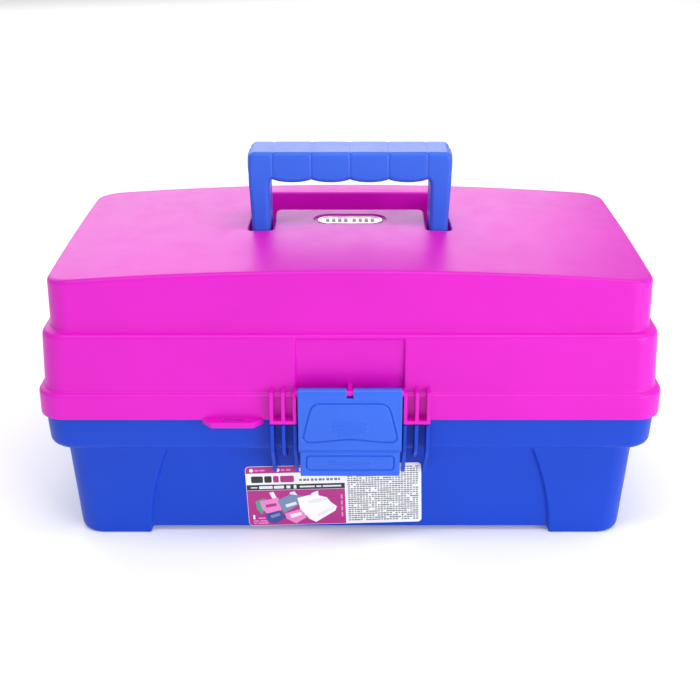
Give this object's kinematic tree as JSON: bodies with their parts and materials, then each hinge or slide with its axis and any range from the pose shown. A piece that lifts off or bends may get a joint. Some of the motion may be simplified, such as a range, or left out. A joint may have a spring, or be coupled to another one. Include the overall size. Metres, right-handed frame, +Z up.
{
  "type": "art supply box",
  "caption": "Moulded carrying box with a stepped rear-hinged lid, folding handle, front snap latch and stepped trays that rise as the lid opens.",
  "frame": {"origin": "centre of the bounding box at floor level, under the corner feet", "axes": "+X along the width to the viewer's right, -Y towards the latch and the user, +Z up"},
  "size_m": [0.355, 0.2068, 0.2168],
  "materials": {
    "tub_blue": "satin moulded polypropylene",
    "lid_pink": "satin moulded polypropylene",
    "latch_blue": "satin moulded polypropylene",
    "tray_blue": "satin moulded polypropylene",
    "pin_metal": "drawn wire",
    "label_paper": null,
    "badge_pearl": "pearly foil"
  },
  "bodies": {
    "base": {"base_tub": "tub_blue", "label_sticker": "label_paper", "hinge_pin_left": "pin_metal", "hinge_pin_right": "pin_metal", "base_pivot_pins": "pin_metal"},
    "lid": {"lid_shell": "lid_pink", "badge_plate": "badge_pearl", "lid_link_pins": "pin_metal"},
    "handle": {"handle": "latch_blue"},
    "latch": {"latch": "latch_blue"},
    "rear_arms": {"rear_arm_left": "lid_pink", "rear_arm_right": "lid_pink"},
    "front_arms": {"front_arm_left": "lid_pink", "front_arm_right": "lid_pink"},
    "lid_links": {"lid_link_left": "lid_pink", "lid_link_right": "lid_pink"},
    "tray_lower": {"tray_lower": "tray_blue", "lower_tray_pins": "pin_metal"},
    "tray_upper": {"tray_upper": "tray_blue", "upper_tray_pins": "pin_metal", "tray_link_pins": "pin_metal"}
  },
  "joints": [
    {"name": "lid_hinge", "type": "hinge", "parent": "base", "child": "lid", "pos_m": [0, 0.0995, 0.086], "axis": [-1, 0, 0], "range_deg": [0, 95]},
    {"name": "rear_arms_swing", "type": "hinge", "parent": "base", "child": "rear_arms", "pos_m": [0, 0.078, 0.073], "axis": [-1, 0, 0], "range_deg": [0, 57]},
    {"name": "front_arms_swing", "type": "hinge", "parent": "base", "child": "front_arms", "pos_m": [0, 0.03, 0.073], "axis": [-1, 0, 0], "range_deg": [0, 57]},
    {"name": "tray_lower_pivot", "type": "hinge", "parent": "rear_arms", "child": "tray_lower", "pos_m": [0, 0.03235, 0.09727], "axis": [-1, 0, 0], "range_deg": [-57, 0]},
    {"name": "tray_upper_pivot", "type": "hinge", "parent": "rear_arms", "child": "tray_upper", "pos_m": [0, -0.01912, 0.12464], "axis": [-1, 0, 0], "range_deg": [-57, 0]},
    {"name": "lid_link_swing", "type": "hinge", "parent": "lid", "child": "lid_links", "pos_m": [0, -0.0175, 0.1045], "axis": [-1, 0, 0], "range_deg": [0, 47.5]},
    {"name": "handle_fold", "type": "hinge", "parent": "lid", "child": "handle", "pos_m": [0, 0, 0.156], "axis": [-1, 0, 0], "range_deg": [0, 90]},
    {"name": "latch_swing", "type": "hinge", "parent": "lid", "child": "latch", "pos_m": [0, -0.0989, 0.1022], "axis": [-1, 0, 0], "range_deg": [0, 100]}
  ],
  "couplings": [
    {"joint": "rear_arms_swing", "follows": "lid_hinge", "ratio": 0.6},
    {"joint": "front_arms_swing", "follows": "lid_hinge", "ratio": 0.6},
    {"joint": "tray_lower_pivot", "follows": "lid_hinge", "ratio": -0.6},
    {"joint": "tray_upper_pivot", "follows": "lid_hinge", "ratio": -0.6},
    {"joint": "lid_link_swing", "follows": "lid_hinge", "ratio": 0.5}
  ]
}
